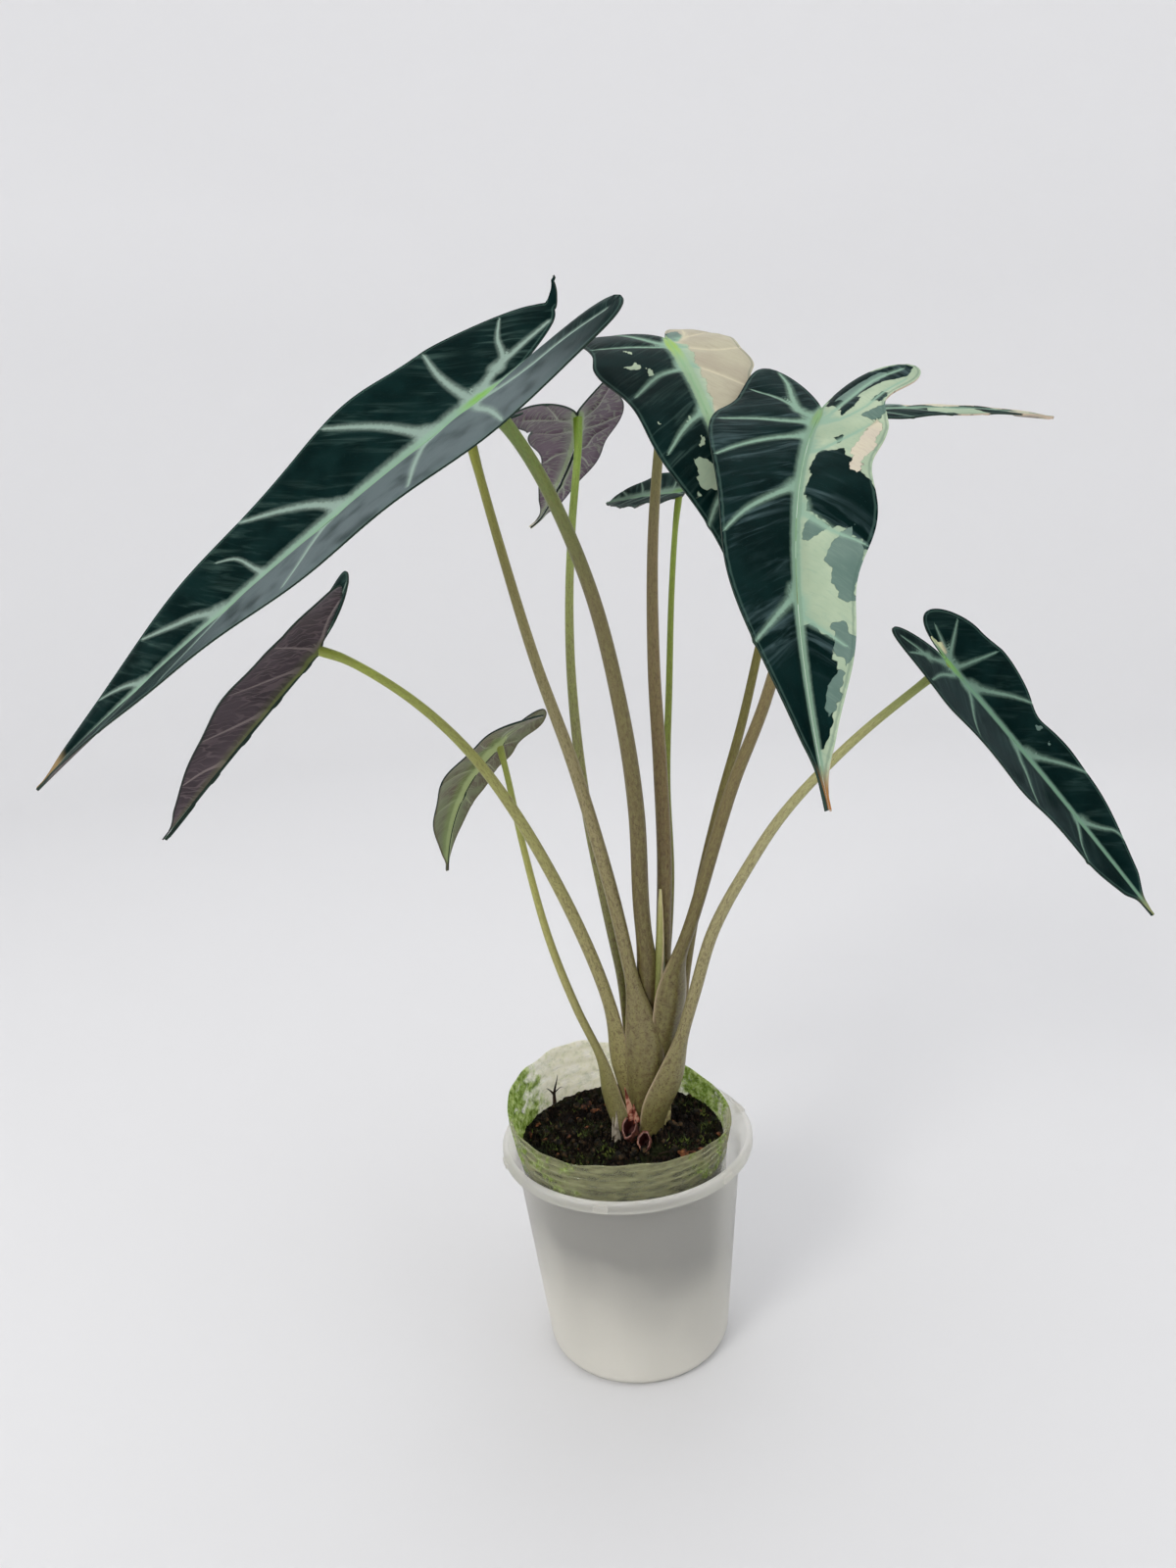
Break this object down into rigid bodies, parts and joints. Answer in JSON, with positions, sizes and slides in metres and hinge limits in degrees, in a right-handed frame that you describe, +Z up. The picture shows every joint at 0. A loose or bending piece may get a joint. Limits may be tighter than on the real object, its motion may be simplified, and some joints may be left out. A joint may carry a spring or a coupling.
{
  "type": "potted bambino alocasia",
  "caption": "Potted aroid with long dark arrowhead leaves with pale ribs, some marbled with cream, on slim sheathing stalks, in a clear nursery pot inside a frosted cup.",
  "frame": {"origin": "centre of the outer cup's flat base, on the surface that it stands on", "axes": "+Z up; +X to the right in the picture, -Y towards the viewer of the picture"},
  "size_m": [0.3411, 0.272, 0.3502],
  "materials": {
    "leaf_dark": "velvety blackish-green leaf with silvery ribs and a mauve-brown underside",
    "leaf_marbled": "velvety leaf marbled in cream, mint and dark green",
    "leaf_olive": "velvety leaf seen from its olive and mauve underside",
    "stalk": "smooth olive and mauve-brown stalk, finely mottled, fresh green at its top",
    "shoot": "smooth furled new leaf",
    "stub": "dried cut stalk end",
    "stem": "pale short stem with dry scales",
    "soil": "moist peaty soil with moss and bark",
    "clear_plastic": "clear, with mineral and algae stains",
    "frosted_plastic": "milky translucent"
  },
  "bodies": {
    "root": {"leaf_low_left": "leaf_olive", "stalk_low_left": "stalk", "leaf_right": "leaf_dark", "stalk_right": "stalk", "leaf_left": "leaf_dark", "stalk_left": "stalk", "leaf_behind_front": "leaf_dark", "stalk_behind_front": "stalk", "leaf_front_right": "leaf_marbled", "stalk_front_right": "stalk", "leaf_front": "leaf_dark", "stalk_front": "stalk", "leaf_half_cream": "leaf_marbled", "stalk_half_cream": "stalk", "leaf_back_left": "leaf_dark", "stalk_back_left": "stalk", "leaf_far_right": "leaf_marbled", "stalk_far_right": "stalk", "leaf_back_small": "leaf_dark", "stalk_back_small": "stalk", "new_shoot": "shoot", "old_stalk_stub_1": "stub", "old_stalk_stub_2": "stub", "stem": "stem", "soil": "soil", "inner_pot": "clear_plastic", "outer_cup": "frosted_plastic"}
  },
  "joints": []
}
